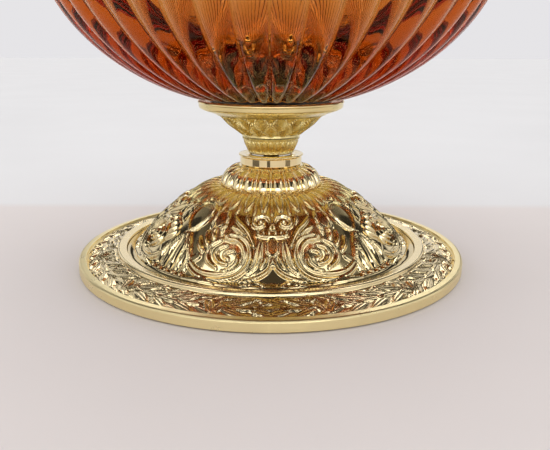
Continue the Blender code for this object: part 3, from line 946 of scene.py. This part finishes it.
def upper_cup():
    """The bell: a smooth cove under the plate, and two tiers of fine acanthus fans below it."""
    sectors = 16
    columns = 896
    z = low("upper_cup")
    outline = [
        (0.0425, 0.0171), (0.0405, 0.0162), (0.0370, 0.0150), (0.0334, 0.0136), (0.0304, 0.0113),
        (0.0281, 0.0088), (0.0252, 0.0061), (0.0213, 0.0032), (0.0186, 0.0010), (0.0178, 0.0),
    ]
    line = smooth(outline, 84) + np.array([0.0, z])
    relief = Relief(line, columns, sectors)
    pen = relief.stroke
    long = relief.along[-1, 0]
    half = 180 / sectors
    cove = 10.6
    deep = 1.6
    for base, hand in ((0.0, 1), (half, -1)):
        foot = long - 1.5 if hand > 0 else cove + 12.0
        for k in range(8):
            lean = k / 7
            tip = foot - 12.5 + 9.0 * lean**1.6
            reach = half * (0.02 + 0.86 * lean**0.8)
            sway = half * 0.22 * math.sin(lean * math.pi)
            points = [
                (base + hand * reach * 0.12, foot),
                (base + hand * (reach * 0.5 - sway), (foot + tip) / 2 + 1.0),
                (base + hand * reach, tip),
            ]
            pen(points, 0.54, deep, keel_form, 0.5, 0.6, 20)
            relief.ball(base + hand * reach, tip, 0.50, deep)
    for share in (0.10, 0.34, 0.58, 0.82):
        edge = half * share
        upper = [(edge, cove + 6.0), (half * (share + 0.08), cove + 3.0), (edge, cove + 0.8)]
        lower = [(edge, long - 2.0), (half * (share + 0.12), long - 4.5), (edge, long - 7.0)]
        for points in (upper, lower):
            pen(points, 0.45, 0.8, keel_form)
    relief.height *= step(relief.along, cove, cove + 0.8)
    for down in (cove - 0.9, long - 0.5):
        pen([(0, down), (half / 2, down), (half, down)], 0.50, deep, round_form, 1.0, 1.0, 12)
    relief.ground = -deep * step(relief.along, cove - 1.6, cove - 0.8)
    web = sharp([
        (0.0176, z), (ROD_HOLE, z), (ROD_HOLE, z + 0.0036), (0.0170, z + 0.0042), (0.0255, z + 0.0118),
        (0.0335, z + 0.0171),
    ])
    cup = turned("acanthus_cup", [(line, relief.all_round()), (web[1:], None)], columns)
    place(cup, "stand", "upper_cup", cup_gold)


def support_plate():
    """A round plate with an eased rim that draws in below."""
    z, top, radius = low("support_plate"), high("support_plate"), wide("support_plate")
    line = sharp([
        (ROD_HOLE, top), (radius - 0.0006, top), (radius, top - 0.0006), (radius, top - 0.0015),
        (radius - 0.0004, top - 0.0018), (radius - 0.0005, z + 0.0010), (radius - 0.0009, z + 0.0003),
        (radius - 0.0014, z), (ROD_HOLE, z), (ROD_HOLE, top),
    ], 0.00015)[:-1]
    place(turned("satin_plate", [(line, None)], 256), "stand", "support_plate", plate_gold)


base_flange()
scroll_dome()
gadroon_collar()
neck_ring()
lower_cup()
upper_cup()
support_plate()


# ---------------------------------------------------------------- the plain pieces


def washer(name, node_name, body, material, columns=96):
    """A plain ring with eased edges, the size of its CAD node."""
    z, top, outer = low(node_name), high(node_name), wide(node_name)
    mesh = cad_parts[node_name].data
    inner = min(math.hypot(v.co.x, v.co.y) for v in mesh.vertices)
    line = sharp([(inner, top), (outer, top), (outer, z), (inner, z), (inner, top)])[:-1]
    place(turned(name, [(line, None)], columns), body, node_name, material)


washer("felt_ring", "felt_pad", "stand", green_felt, 160)
washer("plate_gasket", "bowl_gasket", "stand", black_rubber, 128)
washer("neck_seal", "neck_washer", "stand", black_rubber)
washer("floor_gasket", "inner_gasket", "bowl", black_rubber)
washer("bore_sleeve", "bore_bush", "bowl", clear_nylon)
washer("steel_washer", "bottom_washer", "stand", zinc_steel)


def clamp_plate():
    """The dished iron plate under the dome, whose edge lies under the flange's shelf."""
    z = low("clamp_plate")
    line = sharp([
        (ROD_HOLE, z + 0.0166), (0.0220, z + 0.0166), (0.0245, z + 0.0101), (0.0740, z + 0.0101),
        (0.0760, z + 0.0081), (0.0760, z + 0.0018), (0.0882, z + 0.0018), (0.0882, z),
        (0.0180, z), (0.0180, z + 0.0126), (ROD_HOLE, z + 0.0126), (ROD_HOLE, z + 0.0166),
    ], 0.0003)[:-1]
    place(turned("iron_clamp", [(line, None)], 160), "stand", "clamp_plate", cast_iron)


def inner_rosette():
    """Eight veined petals, dished to the glass, under the nut."""
    columns, petals = 384, 8
    notch_start, notch_length, notch_depth = 0.0150, 0.0039, 0.11
    z = low("inner_rosette")
    outline = [(0.0098, 0.0030), (0.0120, 0.0028), (0.0150, 0.0022), (0.0175, 0.0014), (0.0189, 0.0009)]
    line = smooth(outline, 30) + np.array([0.0, z])
    relief = Relief(line, columns, petals, -0.6)
    relief.stroke([(0, 0.5), (0, 5), (0, 9)], 4.6, 0.6, vein_form, 0.8, 0.6)
    edge = np.array([
        (0.0189, z + 0.0007), (0.0189, z + 0.0002), (0.0186, z), (ROD_HOLE, z), (ROD_HOLE, z + 0.0024),
    ])
    made = turned("rosette_washer", [(line, relief.all_round()), (edge, None)], columns)
    for vertex in made.data.vertices:
        radius = math.hypot(vertex.co.x, vertex.co.y)
        if radius > notch_start:
            turn = math.atan2(vertex.co.x, -vertex.co.y)
            bite = 1 - abs(math.cos(petals * turn / 2))
            share = (radius - notch_start) / notch_length
            scale = 1 - notch_depth * bite * share
            vertex.co.x *= scale
            vertex.co.y *= scale
    place(made, "rosette", "inner_rosette", polished)


def cap_nut():
    """The nut inside the bowl, fluted for the fingers, with a domed crown."""
    flutes = 12
    columns = flutes * 16
    z = low("cap_nut")
    outline = [
        (0.0, 0.0096), (0.0018, 0.0093), (0.0038, 0.0084), (0.0056, 0.0066), (0.0080, 0.0059),
        (0.0092, 0.0051), (0.0096, 0.0040), (0.0096, 0.0010), (0.0090, 0.0),
    ]
    line = smooth(outline, 48) + np.array([0.0, z])
    line[0, 0] = 0.0
    relief = Relief(line, columns, flutes)
    share = step(line[:, 0], 0.0074, 0.0092)[:, None]
    relief.height = -0.55 * share * (1 - np.sqrt(1 - 0.98 * (relief.angle / relief.angle.max()) ** 2))
    inside = np.array([(0.0053, z), (0.0053, z + 0.0064), (0.0, z + 0.0070)])
    nut = turned("fluted_nut", [(line, relief.all_round()), (inside, None)], columns, closed=False)
    place(nut, "cap_nut", "cap_nut", polished)


def tie_rod():
    """A rod with a rolled thread: a helix in the radius, with chamfered ends."""
    z, top = low("tie_rod"), high("tie_rod")
    rod_radius, pitch, depth, chamfer = 0.0050, 0.0015, 0.0005, 0.0009
    columns, rows_a_turn = 32, 8
    turn = column_angles(columns)
    heights = np.linspace(z, top, int((top - z) / pitch * rows_a_turn))[::-1, None]
    wave = 0.5 + 0.5 * np.cos(2 * math.pi * heights / pitch - turn[None, :])
    ends = np.minimum(step(heights - z, 0, 0.0008), step(top - heights, 0, 0.0008))
    relief = -depth * (1 - wave) * ends - chamfer * (1 - ends)
    body = round_points(rod_radius + relief, heights, turn)
    tip, tail = (round_points(np.zeros((1, 1)), np.full((1, 1), end), turn) for end in (top, z))
    rod = grid_object("threaded_rod", np.concatenate([tip, body, tail]), closed=False)
    place(rod, "stand", "tie_rod", zinc_steel)


def hexagon_nut():
    """A hexagon nut: flats cut from a round blank, chamfered at both faces."""
    z, top = low("bottom_nut"), high("bottom_nut")
    columns, flat = 192, 0.0085
    turn = column_angles(columns)
    hexagon = flat / np.cos((turn + math.pi / 6) % (math.pi / 3) - math.pi / 6)
    heights = np.linspace(top, z, 9)[:, None]
    chamfer = flat + 0.0002 + 1.7 * np.minimum(heights - z, top - heights)
    outer = round_points(np.minimum(hexagon[None, :], chamfer), heights, turn)
    bore = np.array([(0.0054, z), (0.0054, top)])
    inner = round_points(bore[:, :1], bore[:, 1:], turn)
    nut = grid_object("hexagon_nut", np.concatenate([outer, inner]))
    nut.data.shade_flat()
    place(nut, "stand", "bottom_nut", zinc_steel)


clamp_plate()
inner_rosette()
cap_nut()
tie_rod()
hexagon_nut()
# the spring washer keeps its CAD mesh
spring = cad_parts["spring_washer"].data
spring.materials.clear()
spring.materials.append(zinc_steel)
